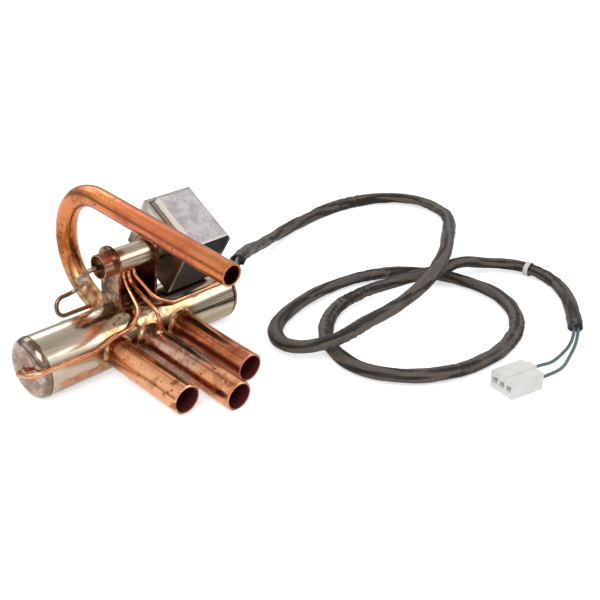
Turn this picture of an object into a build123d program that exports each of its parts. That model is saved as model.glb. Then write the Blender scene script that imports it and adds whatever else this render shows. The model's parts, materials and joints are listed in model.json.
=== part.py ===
"""Four way reversing valve for a split air conditioner, with its pilot valve, coil and coil lead.

The valve lies on a flat surface: the barrel rests on it along its whole length, and so does the mouth of the
long suction tube. +Z is up, X runs along the barrel and the three service tubes point towards -Y.
The origin is on the surface, straight under the middle of the barrel's axis. All sizes are in millimetres.

The valve itself is drawn in its own frame, the plane "valve": x along the barrel's axis, y towards the
discharge tube, z towards the pilot valve. The loose lead is drawn in the frame of the surface.
"""

import os
from math import asin, atan2, cos, hypot, radians, sin, sqrt, tan

from build123d import *

# ---------------------------------------------------------------- barrel and end caps
barrel_od = 26.4
barrel_wall = 1.2
barrel_length = 97.0
cap_length = 5.2
cap_corner = 4.4
cap_crown = 0.7
weld_groove = 0.35

# ---------------------------------------------------------------- service tubes and seat
tube_od = 12.7
tube_wall = 0.9
port_pitch = 17.0
port_bore = 10.3
suction_reach = 68.4
outer_reach = 56.8
tube_seat = 8.2
tube_rim = 0.2
seat_level = 4.5
seat_land = 1.6

# ---------------------------------------------------------------- discharge tube
discharge_od = 9.52
discharge_wall = 0.8
discharge_start = 11.3
discharge_straight = 21.0
discharge_bend = 26.5
discharge_turn = 181.0
discharge_return = 82.0

# ---------------------------------------------------------------- slide and pistons
slide_land = 2.2
slide_flange = 1.2
flange_height = 2.0
slide_height = 8.4
slide_round = 1.6
slide_cavity = 5.4
slide_spring_height = 0.4
frame_thickness = 1.2
frame_width = 18.6
frame_gas_hole = 8.0
piston_gap = 0.6
frame_tab = 10.0
frame_tab_width = 13.0
slide_clearance = 0.15
piston_disc = 2.0
piston_relief = 0.8
cup_base = 1.0
cup_depth = 4.4
cup_lip = 0.9
bore_clearance = 0.06
retainer_thickness = 1.2
retainer_radius = 9.4
rivet_radius = 1.4
rivet_head = 2.4
rivet_head_height = 1.2
rivet_spread = 7.6
bleed_hole = 0.8
bleed_place = -7.0

# ---------------------------------------------------------------- pilot valve
pilot_side = 2.0
pilot_od = 10.8
pilot_wall = 0.6
pilot_left = -15.0
plug_recess = 1.8
plug_length = 4.0
pilot_pitch = 2.8
pilot_port = 1.2
pilot_seat_level = 2.0
pilot_seat_length = 13.0
pilot_slide_height = 3.0
pilot_slide_width = 3.6
pilot_slide_land = 0.7
carrier_thickness = 1.0
carrier_width = 6.0
carrier_clearance = 0.08
carrier_window_wall = 1.6
carrier_grip = 3.0
plunger_start = 11.0
plunger_length = 13.0
plunger_clearance = 0.08
plunger_flat = 3.8
plunger_gap = 0.15
spring_bore = 2.6
spring_bore_depth = 8.0
spring_wire = 0.5
spring_radius = 2.0
spring_turns = 6
core_recess = 2.0
core_thread = 2.0
core_thread_depth = 7.0

# ---------------------------------------------------------------- pilot bracket
bracket_sheet = 1.2
bracket_left = -9.6
bracket_right = 10.6
bracket_width = 12.4
bracket_eye = 2.2
bracket_back_gap = 0.8

# ---------------------------------------------------------------- capillaries
capillary_od = 2.0
capillary_bore = 1.0
capillary_bend = 7.0
capillary_gap = 0.15
cap_swing = 3.4
left_run_angle = 22.8
right_run_angle = 48.7
suction_tap = 5.6
discharge_tap_turn = 9.0

# ---------------------------------------------------------------- coil
coil_left = 15.0
coil_right = 40.0
coil_depth = 31.5
coil_height = 29.5
coil_turn = 27.3
coil_bore_clearance = 0.15
coil_gap = 0.69
yoke_sheet = 1.5
yoke_lip = 1.4
body_round = 1.2
body_step = 3.2
body_step_drop = 1.3
winding_radius = 12.4
bobbin_wall = 1.0
bobbin_flange = 1.0
label_thickness = 0.25
label_margin = 0.5
screw_clearance = 0.25
screw_length = 6.4
screw_head_radius = 3.6
screw_head_height = 2.8
screw_socket = 1.6
washer_radius = 4.4
washer_thickness = 0.8
nose_place = 36.0
nose_rise = 1.0
nose_radius = 3.0
nose_length = 3.0
nose_taper = 8.0

# ---------------------------------------------------------------- lead
sleeve_od = 7.0
wire_od = 1.5
wire_spread = 2.2
band_width = 2.6
band_wall = 0.3
connector_pitch = 3.96
connector_width = 13.2
connector_length = 16.5
connector_height = 8.0
connector_place = (98.0, -141.5)
connector_heading = 164.0
terminal_size = 2.0
terminal_length = 9.0
terminal_bore = 1.2
terminal_inset = 1.5
socket_depth = 7.5
socket_size = 2.8
latch_width = 4.4
latch_height = 1.3

# ---------------------------------------------------------------- worked out from the sizes above
barrel_radius = barrel_od / 2
bore_radius = barrel_radius - barrel_wall
barrel_half = barrel_length / 2
cap_end = barrel_half + cap_length
tube_radius = tube_od / 2
tube_bore = tube_radius - tube_wall
discharge_radius = discharge_od / 2
pilot_radius = pilot_od / 2
pilot_bore = pilot_radius - pilot_wall
port_places = (-port_pitch, 0.0, port_pitch)
slide_rest = -port_pitch / 2
# The cups stop just inside the barrel's ends, which sets the length of the frame between the pistons.
frame_end = barrel_half + slide_rest - piston_gap - cup_depth - piston_disc - frame_thickness

# The coil's lower front corner just clears the barrel, which sets the height of the pilot valve over it.
coil_corner_side = pilot_side - coil_depth / 2 * cos(radians(coil_turn)) + coil_height / 2 * sin(radians(coil_turn))
coil_corner_drop = coil_depth / 2 * sin(radians(coil_turn)) + coil_height / 2 * cos(radians(coil_turn))
pilot_height = coil_corner_drop + sqrt((barrel_radius + coil_gap) ** 2 - coil_corner_side**2)

capillary_radius = capillary_od / 2
capillary_orbit = barrel_radius + capillary_radius + capillary_gap
suction_tap_place = barrel_radius + suction_tap
discharge_tap_place = discharge_straight + discharge_bend * sin(radians(discharge_tap_turn))
discharge_tap_rise = discharge_bend * (1 - cos(radians(discharge_tap_turn)))

# The barrel and the suction tube's mouth both touch the surface, so the valve leans by this angle.
lean = asin(barrel_radius / hypot(suction_reach, tube_radius)) - atan2(tube_radius, suction_reach)

valve = Plane(origin=(0, 0, barrel_radius), x_dir=(1, 0, 0), z_dir=(0, -sin(lean), cos(lean)))
barrel_axis = Axis(valve.origin, valve.x_dir)


def in_valve(x, y=0.0, z=0.0):
    """A point of the valve's own frame, in the frame of the surface."""
    return valve.from_local_coords((x, y, z))


def station(x, y=0.0, z=0.0):
    """A plane across the barrel: its x is the valve's y and its y is the valve's z."""
    return Plane(origin=in_valve(x, y, z), x_dir=valve.y_dir, z_dir=valve.x_dir)


def port_plane(x, depth=0.0):
    """A plane across a service tube, depth in front of the barrel's axis, facing the tube's mouth."""
    return Plane(origin=in_valve(x, -depth), x_dir=valve.x_dir, z_dir=-valve.y_dir)


def write(piece, name):
    """Labels a finished piece and writes its STEP file."""
    piece.part.label = name
    export_step(piece.part, f"parts/{name}.step")


os.makedirs("parts", exist_ok=True)

# ================================================================ main valve
# The barrel is a drawn stainless tube with three service holes in front and the discharge hole behind.
with BuildPart() as valve_barrel:
    with BuildSketch(station(-barrel_half)):
        Circle(barrel_radius)
        Circle(bore_radius, mode=Mode.SUBTRACT)
    extrude(amount=barrel_length)
    with BuildSketch(*[port_plane(x) for x in port_places]):
        Circle(tube_radius)
    extrude(amount=barrel_radius, mode=Mode.SUBTRACT)
    with BuildSketch(port_plane(0)):
        Circle(discharge_radius)
    extrude(amount=-barrel_radius, mode=Mode.SUBTRACT)
write(valve_barrel, "valve_barrel")


def cap_outline(side, start, end, radius, corner):
    """Half the section of a dished cap, as a closed face in the valve's xy plane."""
    with BuildSketch(valve) as section:
        with BuildLine():
            wall = Line((side * start, 0), (side * start, radius))
            skirt = Line(wall @ 1, (side * (end - cap_crown - corner), radius))
            edge = RadiusArc(skirt @ 1, (side * (end - cap_crown), radius - corner), side * corner)
            crown = Line(edge @ 1, (side * end, 0))
            Line(crown @ 1, wall @ 0)
        make_face()
    return section.sketch


# Each end is closed by a pressed dished cap, butt welded to the barrel, with a hole for its capillary.
for name, side in (("end_cap_left", -1), ("end_cap_right", 1)):
    outside = cap_outline(side, barrel_half, cap_end, barrel_radius, cap_corner)
    inside = cap_outline(side, barrel_half, cap_end - barrel_wall, bore_radius, cap_corner - barrel_wall)
    with BuildPart() as end_cap:
        add(outside)
        revolve(axis=barrel_axis)
        add(inside)
        revolve(axis=barrel_axis, mode=Mode.SUBTRACT)
        with BuildSketch(station(side * cap_end)):
            Circle(capillary_radius)
        extrude(amount=-side * cap_length, mode=Mode.SUBTRACT)
        with BuildSketch(station(side * (barrel_half + weld_groove))):
            Circle(barrel_radius)
            Circle(barrel_radius - weld_groove, mode=Mode.SUBTRACT)
        extrude(amount=side * weld_groove, both=True, mode=Mode.SUBTRACT)
    write(end_cap, name)

# The brass seat is a D shaped bar brazed into the barrel. The slide runs on its flat, ported face.
seat_length = 2 * port_pitch + port_bore + 2 * seat_land
with BuildPart() as valve_seat:
    with BuildSketch(station(-seat_length / 2)):
        Circle(bore_radius)
        with Locations((-seat_level - bore_radius, 0)):
            Rectangle(2 * bore_radius, 2 * bore_radius, mode=Mode.INTERSECT)
    extrude(amount=seat_length)
    with BuildSketch(*[port_plane(x) for x in port_places]):
        Circle(port_bore / 2)
    extrude(amount=barrel_radius, mode=Mode.SUBTRACT)
    with BuildSketch(*[port_plane(x, tube_seat) for x in port_places]):
        Circle(tube_radius)
    extrude(amount=barrel_radius, mode=Mode.SUBTRACT)
write(valve_seat, "valve_seat")

# Three straight copper service tubes are brazed through the barrel into the seat.
service_tubes = (
    ("evaporator_tube", -port_pitch, outer_reach),
    ("suction_tube", 0.0, suction_reach),
    ("condenser_tube", port_pitch, outer_reach),
)
for name, x, reach in service_tubes:
    with BuildPart() as service_tube:
        with BuildSketch(port_plane(x, tube_seat)):
            Circle(tube_radius)
            Circle(tube_bore, mode=Mode.SUBTRACT)
        extrude(amount=reach - tube_seat)
        rims = service_tube.edges().filter_by(GeomType.CIRCLE).filter_by(lambda rim: rim.radius > tube_bore + 0.01)
        chamfer(rims.sort_by(Axis(in_valve(x), -valve.y_dir))[-1], tube_rim)
        if name == "suction_tube":
            with BuildSketch(Plane(origin=in_valve(x, -suction_tap_place), x_dir=valve.x_dir, z_dir=valve.z_dir)):
                Circle(capillary_radius)
            extrude(amount=tube_od, mode=Mode.SUBTRACT)
    write(service_tube, name)

# The copper discharge tube leaves the back of the barrel, loops over the pilot valve and runs forward again.
with BuildPart() as discharge_tube:
    with BuildLine(station(0)) as discharge_route:
        outlet = Line((discharge_start, 0), (discharge_straight, 0))
        bend = JernArc(outlet @ 1, outlet % 1, discharge_bend, discharge_turn)
        PolarLine(bend @ 1, discharge_return, direction=bend % 1)
    with BuildSketch(Plane(origin=discharge_route.line @ 0, z_dir=discharge_route.line % 0)):
        Circle(discharge_radius)
        Circle(discharge_radius - discharge_wall, mode=Mode.SUBTRACT)
    sweep()
    tap_centre = in_valve(0, discharge_tap_place, discharge_tap_rise)
    with BuildSketch(Plane(origin=tap_centre, x_dir=valve.y_dir, z_dir=-valve.x_dir)):
        Circle(capillary_radius)
    extrude(amount=discharge_od, mode=Mode.SUBTRACT)
write(discharge_tube, "discharge_tube")

# ================================================================ slide and pistons
# The moulded slide joins the suction port to one outer port through the cavity in its face.
slide_base = -seat_level
with BuildPart() as main_slide:
    with BuildSketch(port_plane(slide_rest, -slide_base)):
        SlotCenterToCenter(port_pitch, port_bore + 2 * (slide_land + slide_flange))
    extrude(amount=-flange_height)
    with BuildSketch(port_plane(slide_rest, -slide_base)):
        SlotCenterToCenter(port_pitch, port_bore + 2 * slide_land)
    extrude(amount=-slide_height)
    crown_edges = main_slide.edges().sort_by(Axis(valve.origin, valve.y_dir))[-4:]
    fillet(crown_edges, slide_round)
    with BuildSketch(port_plane(slide_rest, -slide_base)):
        SlotCenterToCenter(port_pitch, port_bore)
    extrude(amount=-slide_cavity, mode=Mode.SUBTRACT)
write(main_slide, "main_slide")

# A flat oval spring lies on the slide's flange and holds the slide down on the seat.
spring_level = slide_base + flange_height
with BuildPart() as slide_spring:
    with BuildSketch(port_plane(slide_rest, -spring_level)):
        SlotCenterToCenter(port_pitch, port_bore + 2 * (slide_land + slide_flange))
        SlotCenterToCenter(port_pitch, port_bore + 2 * (slide_land + slide_clearance), mode=Mode.SUBTRACT)
    extrude(amount=-slide_spring_height)
write(slide_spring, "slide_spring")

# The pressed frame carries the slide in its window and joins the two pistons through its bent tabs.
frame_level = spring_level + slide_spring_height
window_end = port_pitch / 2 + port_bore / 2 + slide_land + slide_clearance
gas_hole_place = (window_end + frame_end) / 2
rivet_level = frame_level + frame_thickness + (frame_tab - frame_thickness) / 2
rivet_points = ((rivet_level, rivet_spread / 2), (rivet_level, -rivet_spread / 2))
with BuildPart() as slide_frame:
    with BuildSketch(port_plane(slide_rest, -frame_level)):
        Rectangle(2 * frame_end, frame_width)
        SlotCenterToCenter(port_pitch, port_bore + 2 * (slide_land + slide_clearance), mode=Mode.SUBTRACT)
        with Locations((gas_hole_place, 0), (-gas_hole_place, 0)):
            Circle(frame_gas_hole / 2, mode=Mode.SUBTRACT)
    extrude(amount=-frame_thickness)
    for side in (-1, 1):
        with BuildSketch(station(slide_rest + side * frame_end)):
            with Locations((frame_level + frame_tab / 2, 0)):
                Rectangle(frame_tab, frame_tab_width)
            with Locations(*rivet_points):
                Circle(rivet_radius, mode=Mode.SUBTRACT)
        extrude(amount=side * frame_thickness)
write(slide_frame, "slide_frame")


def pierced_disc(face, side, radius, thickness):
    """A disc across the barrel, with its rivet holes and its bleed hole."""
    with BuildPart() as disc:
        with BuildSketch(station(slide_rest + side * face)):
            Circle(radius)
            with Locations(*rivet_points):
                Circle(rivet_radius, mode=Mode.SUBTRACT)
            with Locations((bleed_place, 0)):
                Circle(bleed_hole, mode=Mode.SUBTRACT)
        extrude(amount=side * thickness)
    return disc


# Each piston is a steel disc, a moulded cup that seals on the barrel, and a retainer, riveted to the frame.
piston_face = frame_end + frame_thickness
cup_face = piston_face + piston_disc
retainer_face = cup_face + cup_base
retainer_end = retainer_face + retainer_thickness
cup_radius = bore_radius - bore_clearance
for name, side in (("left", -1), ("right", 1)):
    write(pierced_disc(piston_face, side, cup_radius - piston_relief, piston_disc), f"piston_{name}")
    write(pierced_disc(retainer_face, side, retainer_radius, retainer_thickness), f"cup_retainer_{name}")
    cup_disc = pierced_disc(cup_face, side, cup_radius, cup_base)
    with BuildPart() as piston_cup:
        add(cup_disc.part)
        with BuildSketch(station(slide_rest + side * retainer_face)):
            Circle(cup_radius)
            Circle(cup_radius - cup_lip, mode=Mode.SUBTRACT)
        extrude(amount=side * (cup_depth - cup_base))
    write(piston_cup, f"piston_cup_{name}")

# Two rivets on each side clamp tab, disc, cup and retainer together.
with BuildPart() as piston_rivets:
    for side in (-1, 1):
        with BuildSketch(station(slide_rest + side * frame_end)):
            with Locations(*rivet_points):
                Circle(rivet_radius)
        extrude(amount=side * (retainer_end - frame_end))
        with BuildSketch(station(slide_rest + side * frame_end)):
            with Locations(*rivet_points):
                Circle(rivet_head)
        extrude(amount=-side * rivet_head_height)
        with BuildSketch(station(slide_rest + side * retainer_end)):
            with Locations(*rivet_points):
                Circle(rivet_head)
        extrude(amount=side * rivet_head_height)
write(piston_rivets, "piston_rivets")

# ================================================================ pilot valve


def pilot_station(x):
    """A plane across the pilot valve: its x is the valve's y and its y is the valve's z."""
    return station(x, pilot_side, pilot_height)


def pilot_port_plane(x, depth=0.0):
    """A plane across a pilot port, depth under the pilot valve's axis, facing down to the barrel."""
    return Plane(
        origin=in_valve(x, pilot_side, pilot_height - depth), x_dir=valve.x_dir, z_dir=-valve.z_dir
    )


pilot_places = (-pilot_pitch, 0.0, pilot_pitch)
coil_seat = coil_right - yoke_sheet
pilot_tube_end = coil_seat - core_recess
plug_start = pilot_left + plug_recess

# The thin stainless pilot tube runs from the open end on the left, through the coil, to the fixed core.
with BuildPart() as pilot_tube:
    with BuildSketch(pilot_station(pilot_left)):
        Circle(pilot_radius)
        Circle(pilot_bore, mode=Mode.SUBTRACT)
    extrude(amount=pilot_tube_end - pilot_left)
    with BuildSketch(*[pilot_port_plane(x) for x in pilot_places]):
        Circle(capillary_radius)
    extrude(amount=pilot_radius, mode=Mode.SUBTRACT)
write(pilot_tube, "pilot_tube")

# A brass plug closes the left end and takes the discharge capillary.
with BuildPart() as pilot_plug:
    with BuildSketch(pilot_station(plug_start)):
        Circle(pilot_bore)
        Circle(capillary_radius, mode=Mode.SUBTRACT)
    extrude(amount=plug_length)
write(pilot_plug, "pilot_plug")

# The pilot seat is a small copy of the main seat, with a capillary soldered into each port.
capillary_seat = pilot_seat_level + 1.0
with BuildPart() as pilot_seat:
    with BuildSketch(pilot_station(-pilot_seat_length / 2)):
        Circle(pilot_bore)
        with Locations((0, -pilot_seat_level - pilot_bore)):
            Rectangle(2 * pilot_bore, 2 * pilot_bore, mode=Mode.INTERSECT)
    extrude(amount=pilot_seat_length)
    with BuildSketch(*[pilot_port_plane(x) for x in pilot_places]):
        Circle(pilot_port / 2)
    extrude(amount=pilot_radius, mode=Mode.SUBTRACT)
    with BuildSketch(*[pilot_port_plane(x, capillary_seat) for x in pilot_places]):
        Circle(capillary_radius)
    extrude(amount=pilot_radius, mode=Mode.SUBTRACT)
write(pilot_seat, "pilot_seat")

# The pilot slide bridges two of the three pilot ports.
pilot_slide_rest = -pilot_pitch / 2
pilot_slide_length = pilot_pitch + pilot_port + 2 * pilot_slide_land
with BuildPart() as pilot_slide:
    with BuildSketch(pilot_port_plane(pilot_slide_rest, pilot_seat_level)):
        Rectangle(pilot_slide_length, pilot_slide_width)
    extrude(amount=-pilot_slide_height)
    with BuildSketch(pilot_port_plane(pilot_slide_rest, pilot_seat_level)):
        SlotCenterToCenter(pilot_pitch, pilot_port)
    extrude(amount=-pilot_port, mode=Mode.SUBTRACT)
write(pilot_slide, "pilot_slide")

# The carrier is a strip fixed in the plunger, with a window that pulls the pilot slide along.
carrier_level = pilot_seat_level - pilot_slide_height / 2
carrier_left = pilot_slide_rest - pilot_slide_length / 2 - carrier_window_wall
carrier_right = plunger_start + carrier_grip
with BuildPart() as slide_carrier:
    with BuildSketch(pilot_port_plane((carrier_left + carrier_right) / 2, carrier_level)):
        Rectangle(carrier_right - carrier_left, carrier_width)
    extrude(amount=-carrier_thickness)
    with BuildSketch(pilot_port_plane(pilot_slide_rest, carrier_level)):
        Rectangle(pilot_slide_length + 2 * carrier_clearance, pilot_slide_width + 2 * carrier_clearance)
    extrude(amount=-carrier_thickness, mode=Mode.SUBTRACT)
write(slide_carrier, "slide_carrier")

# The steel plunger slides in the pilot tube. Two flats let the gas pass, and a bore holds the return spring.
plunger_end = plunger_start + plunger_length
plunger_radius = pilot_bore - plunger_clearance
with BuildPart() as pilot_plunger:
    with BuildSketch(pilot_station(plunger_start)):
        Circle(plunger_radius)
        Rectangle(2 * plunger_radius, 2 * plunger_flat, mode=Mode.INTERSECT)
    extrude(amount=plunger_length)
    with BuildSketch(pilot_station(plunger_end)):
        Circle(spring_bore)
    extrude(amount=-spring_bore_depth, mode=Mode.SUBTRACT)
    with BuildSketch(pilot_station(plunger_start)):
        with Locations((0, -carrier_level + carrier_thickness / 2)):
            Rectangle(carrier_width, carrier_thickness)
    extrude(amount=carrier_grip, mode=Mode.SUBTRACT)
write(pilot_plunger, "pilot_plunger")

# The fixed core closes the right end of the pilot tube and takes the coil's screw.
core_start = plunger_end + pilot_pitch + plunger_gap
with BuildPart() as pilot_core:
    with BuildSketch(pilot_station(core_start)):
        Circle(pilot_bore)
    extrude(amount=coil_seat - core_start)
    with BuildSketch(pilot_station(coil_seat)):
        Circle(core_thread)
    extrude(amount=-core_thread_depth, mode=Mode.SUBTRACT)
write(pilot_core, "pilot_core")

# The return spring pushes the plunger away from the core.
spring_start = plunger_end - spring_bore_depth + spring_wire / 2
spring_length = core_start - spring_start - spring_wire / 2
with BuildPart() as pilot_return_spring:
    with BuildLine() as spring_line:
        Helix(
            pitch=spring_length / spring_turns,
            height=spring_length,
            radius=spring_radius,
            center=pilot_station(spring_start).origin,
            direction=valve.x_dir,
        )
    with BuildSketch(Plane(origin=spring_line.line @ 0, z_dir=spring_line.line % 0)):
        Circle(spring_wire / 2)
    sweep(is_frenet=True)
write(pilot_return_spring, "pilot_return_spring")

# The bent sheet bracket stands on the barrel and holds the pilot tube in the eyes of its two legs. Its back
# joins the legs and ends below the tube.
bracket_back_height = pilot_height - pilot_radius - bracket_back_gap
with BuildPart() as pilot_bracket:
    with BuildSketch(station(bracket_left)):
        Circle(barrel_radius + bracket_sheet)
        with Locations((pilot_side, barrel_radius)):
            Rectangle(bracket_width, barrel_radius, mode=Mode.INTERSECT)
        Circle(barrel_radius, mode=Mode.SUBTRACT)
    extrude(amount=bracket_right - bracket_left)
    with BuildSketch(station(bracket_left), station(bracket_right - bracket_sheet)):
        with Locations((pilot_side, pilot_height / 2)):
            Rectangle(bracket_width, pilot_height)
        with Locations((pilot_side, pilot_height)):
            Circle(pilot_radius + bracket_eye)
            Circle(pilot_radius, mode=Mode.SUBTRACT)
        Circle(barrel_radius, mode=Mode.SUBTRACT)
    extrude(amount=bracket_sheet)
    with BuildSketch(station(bracket_left)):
        with Locations((pilot_side + (bracket_width - bracket_sheet) / 2, bracket_back_height / 2)):
            Rectangle(bracket_sheet, bracket_back_height)
        Circle(barrel_radius, mode=Mode.SUBTRACT)
    extrude(amount=bracket_right - bracket_left)
write(pilot_bracket, "pilot_bracket")

# ================================================================ capillaries


def bend_radii(route):
    """The radius of the bend at each inner point of a route: each bend uses 0.45 of its shorter run."""
    points = [Vector(point) for point in route]
    radii = []
    for before, corner, after in zip(points, points[1:], points[2:]):
        shorter = min((corner - before).length, (after - corner).length)
        turn = radians((corner - before).get_angle(after - corner))
        radii.append(0.45 * shorter / tan(turn / 2))
    return radii


def capillary(name, *route):
    """Bends one copper capillary through the points of its route, given in the valve's frame."""
    radii = [min(radius, capillary_bend) for radius in bend_radii(route)]
    with BuildPart() as tube:
        with BuildLine(valve) as line:
            FilletPolyline(*route, radius=radii)
        with BuildSketch(Plane(origin=line.line @ 0, z_dir=line.line % 0)):
            Circle(capillary_radius)
            Circle(capillary_bore / 2, mode=Mode.SUBTRACT)
        sweep()
    write(tube, name)


def along_barrel(x, angle):
    """A point of a capillary that lies on the barrel, angle degrees above the service tubes."""
    return (x, -capillary_orbit * cos(radians(angle)), capillary_orbit * sin(radians(angle)))


def into_cap(side, angle):
    """The end of a capillary's route: past the end of the barrel, in front of the cap and into its middle."""
    turning_place = side * (cap_end + cap_swing)
    return (
        along_barrel(turning_place, angle),
        (turning_place, 0, 0),
        (side * (cap_end - barrel_wall), 0, 0),
    )


port_level = pilot_height - capillary_seat
capillary(
    "left_capillary",
    (-pilot_pitch, pilot_side, port_level),
    (-pilot_pitch, pilot_side, pilot_height - 10.2),
    (-3.4, -10.0, 13.6),
    (-9.6, -12.4, 8.8),
    (-17.0, -12.6, 8.2),
    along_barrel(-27.0, left_run_angle),
    *into_cap(-1, left_run_angle),
)
capillary(
    "right_capillary",
    (pilot_pitch, pilot_side, port_level),
    (pilot_pitch, pilot_side, pilot_height - 9.2),
    (6.4, -8.0, 15.2),
    along_barrel(15.0, right_run_angle),
    *into_cap(1, right_run_angle),
)
capillary(
    "suction_capillary",
    (0, pilot_side, port_level),
    (0, pilot_side, pilot_height - 11.2),
    (-0.4, -9.6, 18.6),
    (0, -suction_tap_place, 15.6),
    (0, -suction_tap_place, tube_bore),
)
capillary(
    "discharge_capillary",
    (plug_start + 2 * capillary_radius, pilot_side, pilot_height),
    (pilot_left - 5.5, pilot_side, pilot_height),
    (pilot_left - 5.0, 10.5, pilot_height - 8.2),
    (-8.0, 20.5, 17.0),
    (-9.5, discharge_tap_place + 2.5, discharge_tap_rise + 8.6),
    (-21.0, discharge_tap_place + 1.5, discharge_tap_rise + 8.4),
    (-21.0, discharge_tap_place, discharge_tap_rise),
    (discharge_wall - discharge_radius, discharge_tap_place, discharge_tap_rise),
)

# ================================================================ coil


def coil_station(x, back=0.0, up=0.0):
    """A plane across the coil, which leans forward round the pilot tube: its x points back and its y up."""
    upright = pilot_station(x)
    across = Plane(
        origin=upright.origin, x_dir=upright.x_dir.rotate(barrel_axis, coil_turn), z_dir=valve.x_dir
    )
    return Plane(origin=across.from_local_coords((back, up)), x_dir=across.x_dir, z_dir=valve.x_dir)


winding_bore = pilot_radius + coil_bore_clearance
body_left = coil_left + yoke_sheet
body_length = coil_right - coil_left - 2 * yoke_sheet
body_depth = coil_depth - yoke_sheet
body_back = -yoke_sheet / 2

# The zinc plated yoke is one strip bent to a U, open to the front, that closes the magnetic path.
with BuildPart() as coil_yoke:
    with BuildSketch(coil_station(coil_left)):
        Rectangle(coil_depth, coil_height - 2 * yoke_lip)
        with Locations((-yoke_sheet, 0)):
            Rectangle(coil_depth, coil_height, mode=Mode.INTERSECT)
        with Locations((coil_depth / 2 - yoke_sheet / 2, 0)):
            Rectangle(yoke_sheet, coil_height - 2 * yoke_lip)
    extrude(amount=coil_right - coil_left)
    with BuildSketch(coil_station(body_left)):
        with Locations((body_back, 0)):
            Rectangle(body_depth, coil_height)
    extrude(amount=body_length, mode=Mode.SUBTRACT)
    with BuildSketch(coil_station(coil_left)):
        Circle(winding_bore)
    extrude(amount=yoke_sheet, mode=Mode.SUBTRACT)
    with BuildSketch(coil_station(coil_seat)):
        Circle(core_thread + screw_clearance)
    extrude(amount=yoke_sheet, mode=Mode.SUBTRACT)
write(coil_yoke, "coil_yoke")

# The winding is moulded into a dark block, which stands a little higher than the yoke.
with BuildPart() as coil_body:
    with BuildSketch(coil_station(body_left)):
        with Locations((body_back, 0)):
            RectangleRounded(body_depth, coil_height, body_round)
    extrude(amount=body_length)
    with BuildSketch(coil_station(body_left)):
        with Locations((body_back, coil_height / 2 - body_step_drop / 2)):
            Rectangle(body_depth, body_step_drop)
    extrude(amount=body_step, mode=Mode.SUBTRACT)
    with BuildSketch(coil_station(body_left)):
        Circle(winding_radius)
    extrude(amount=body_length, mode=Mode.SUBTRACT)
write(coil_body, "coil_body")

# The bobbin is a tube with two flanges, and the winding fills it.
with BuildPart() as coil_bobbin:
    with BuildSketch(coil_station(body_left)):
        Circle(winding_bore + bobbin_wall)
        Circle(winding_bore, mode=Mode.SUBTRACT)
    extrude(amount=body_length)
    with BuildSketch(coil_station(body_left), coil_station(coil_seat - bobbin_flange)):
        Circle(winding_radius)
        Circle(winding_bore, mode=Mode.SUBTRACT)
    extrude(amount=bobbin_flange)
write(coil_bobbin, "coil_bobbin")

with BuildPart() as coil_winding:
    with BuildSketch(coil_station(body_left + bobbin_flange)):
        Circle(winding_radius)
        Circle(winding_bore + bobbin_wall, mode=Mode.SUBTRACT)
    extrude(amount=body_length - 2 * bobbin_flange)
write(coil_winding, "coil_winding")

# A blank label covers most of the block's top.
label_length = body_length - body_step - 2 * label_margin
label_depth = body_depth - 2 * (body_round + label_margin)
with BuildPart() as coil_label:
    with BuildSketch(coil_station(body_left + body_step + label_margin)):
        with Locations((body_back, coil_height / 2 + label_thickness / 2)):
            Rectangle(label_depth, label_thickness)
    extrude(amount=label_length)
write(coil_label, "coil_label")

# A washer and a socket head screw hold the coil on the core.
with BuildPart() as coil_washer:
    with BuildSketch(coil_station(coil_right)):
        Circle(washer_radius)
        Circle(core_thread + screw_clearance, mode=Mode.SUBTRACT)
    extrude(amount=washer_thickness)
write(coil_washer, "coil_washer")

screw_seat = coil_right + washer_thickness
with BuildPart() as coil_screw:
    with BuildSketch(coil_station(screw_seat)):
        Circle(core_thread)
    extrude(amount=-screw_length)
    with BuildSketch(coil_station(screw_seat)):
        Circle(screw_head_radius)
    extrude(amount=screw_head_height)
    with BuildSketch(coil_station(screw_seat + screw_head_height)):
        RegularPolygon(screw_socket, 6)
    extrude(amount=-screw_socket, mode=Mode.SUBTRACT)
write(coil_screw, "coil_screw")

# The wires leave the block through a short nose on its front.
nose_seat = coil_station(nose_place, body_back - body_depth / 2, nose_rise)
with BuildPart() as lead_nose:
    with BuildSketch(Plane(origin=nose_seat.origin, x_dir=valve.x_dir, z_dir=-nose_seat.x_dir)):
        Circle(nose_radius)
    extrude(amount=nose_length, taper=nose_taper)
write(lead_nose, "lead_nose")

# ================================================================ lead


def cord(name, diameter, *routes):
    """Sweeps one round cord along each route and prints its tightest bend."""
    with BuildPart() as run:
        for route in routes:
            radii = bend_radii(route)
            print(f"{name}: tightest bend {min(radii):.1f} mm, diameter {diameter:.1f} mm")
            with BuildLine() as line:
                FilletPolyline(*route, radius=radii)
            with BuildSketch(Plane(origin=line.line @ 0, z_dir=line.line % 0)):
                Circle(diameter / 2)
            sweep(path=line.line)
    write(run, name)


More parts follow.
